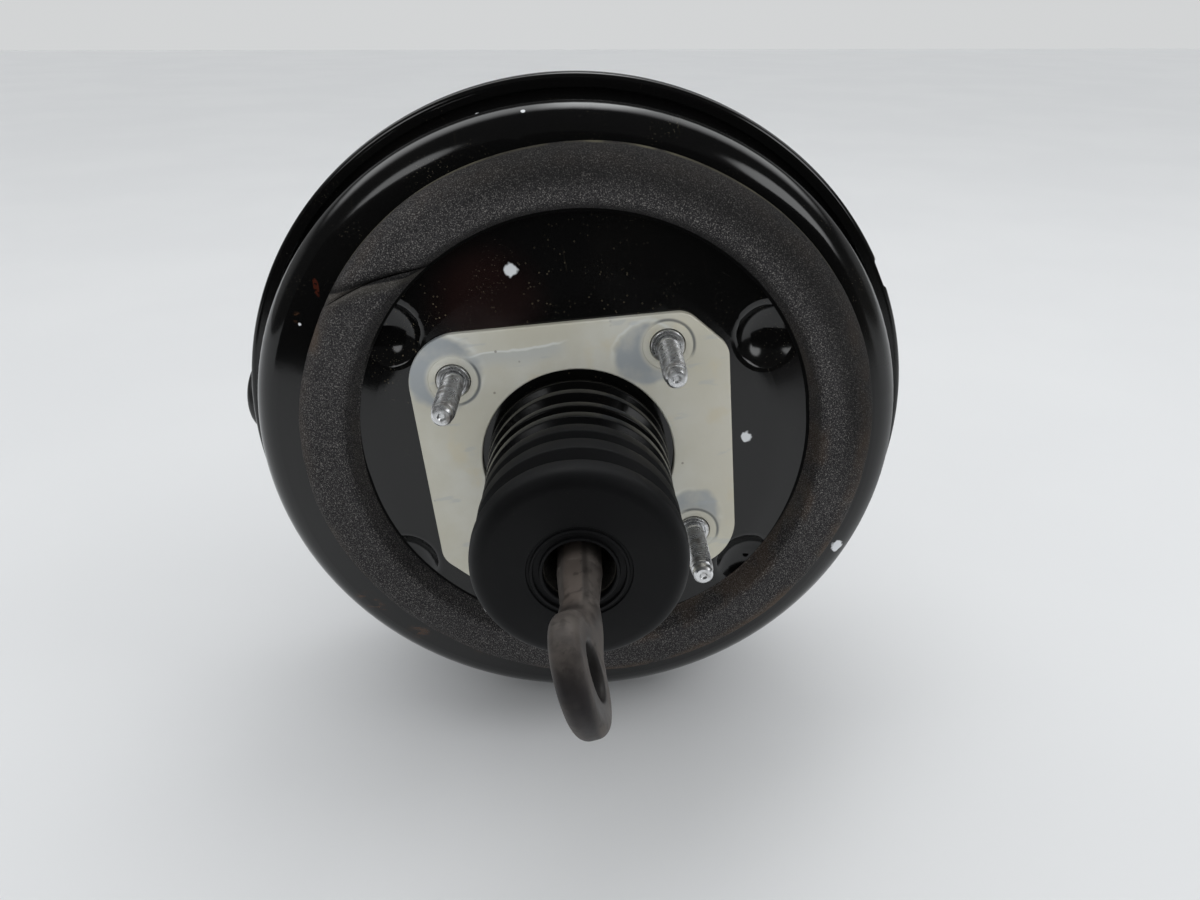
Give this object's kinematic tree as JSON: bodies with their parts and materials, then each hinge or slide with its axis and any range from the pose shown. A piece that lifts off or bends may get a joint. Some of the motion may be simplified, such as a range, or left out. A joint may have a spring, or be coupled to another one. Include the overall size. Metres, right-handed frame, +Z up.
{
  "type": "vacuum brake booster",
  "caption": "Round black vacuum brake booster with mounting plate and studs, foam gasket, ribbed dust boot and pedal rod; the piston strokes and the rod tilts.",
  "frame": {"origin": "centre of the mounting plate's face that meets the bulkhead, on the booster's axis", "axes": "-Y along the axis towards the pedal, +Y towards the master cylinder, +X along the upper row of studs, +Z up"},
  "size_m": [0.2756, 0.2704, 0.268],
  "materials": {
    "black_paint": "gloss",
    "zinc_plate": "satin",
    "stud_steel": "satin",
    "foam": "matte",
    "boot_rubber": "satin",
    "seal_rubber": "matte",
    "phenolic": "matte",
    "valve_plastic": "satin",
    "nylon": "matte",
    "forged_steel": "satin",
    "pressed_steel": "satin",
    "spring_steel": "satin",
    "felt": "matte"
  },
  "bodies": {
    "housing": {"rear_shell": "black_paint", "front_shell": "black_paint", "mounting_plate": "zinc_plate", "firewall_studs": "stud_steel", "foam_gasket": "foam", "dust_boot": "boot_rubber", "diaphragm": "seal_rubber", "return_spring": "spring_steel", "neck_guide": "nylon", "neck_seal": "seal_rubber", "neck_clip": "pressed_steel", "brace_plate": "pressed_steel", "master_studs": "stud_steel", "nose_seal": "seal_rubber", "nose_ring": "nylon", "check_valve": "valve_plastic", "valve_grommet": "seal_rubber"},
    "power_piston": {"valve_body": "phenolic", "diaphragm_plate": "pressed_steel", "stop_key": "pressed_steel", "poppet_valve": "seal_rubber", "poppet_cup": "pressed_steel", "poppet_spring": "spring_steel", "input_spring": "spring_steel", "air_filter": "felt", "silencer": "felt", "reaction_disc": "seal_rubber", "output_rod": "pressed_steel", "rod_tip": "pressed_steel", "rod_retainer": "pressed_steel"},
    "valve_plunger": {"plunger": "pressed_steel"},
    "pedal_rod": {"input_rod": "forged_steel"}
  },
  "joints": [
    {"name": "boost_stroke", "type": "slide", "parent": "housing", "child": "power_piston", "axis": [0, 1, 0], "range_m": [0, 0.036], "stiffness_N_per_m": 3500, "springref_m": -0.03, "deforming": ["dust_boot", "diaphragm", "return_spring"]},
    {"name": "valve_travel", "type": "slide", "parent": "power_piston", "child": "valve_plunger", "axis": [0, 1, 0], "range_m": [0, 0.0015], "stiffness_N_per_m": 2000, "springref_m": -0.01, "deforming": ["poppet_spring", "input_spring"]},
    {"name": "rod_tilt", "type": "hinge", "parent": "valve_plunger", "child": "pedal_rod", "pos_m": [0, -0.001, 0], "axis": [1, 0, 0], "range_deg": [-3, 3], "stiffness_Nm_per_rad": 40}
  ]
}
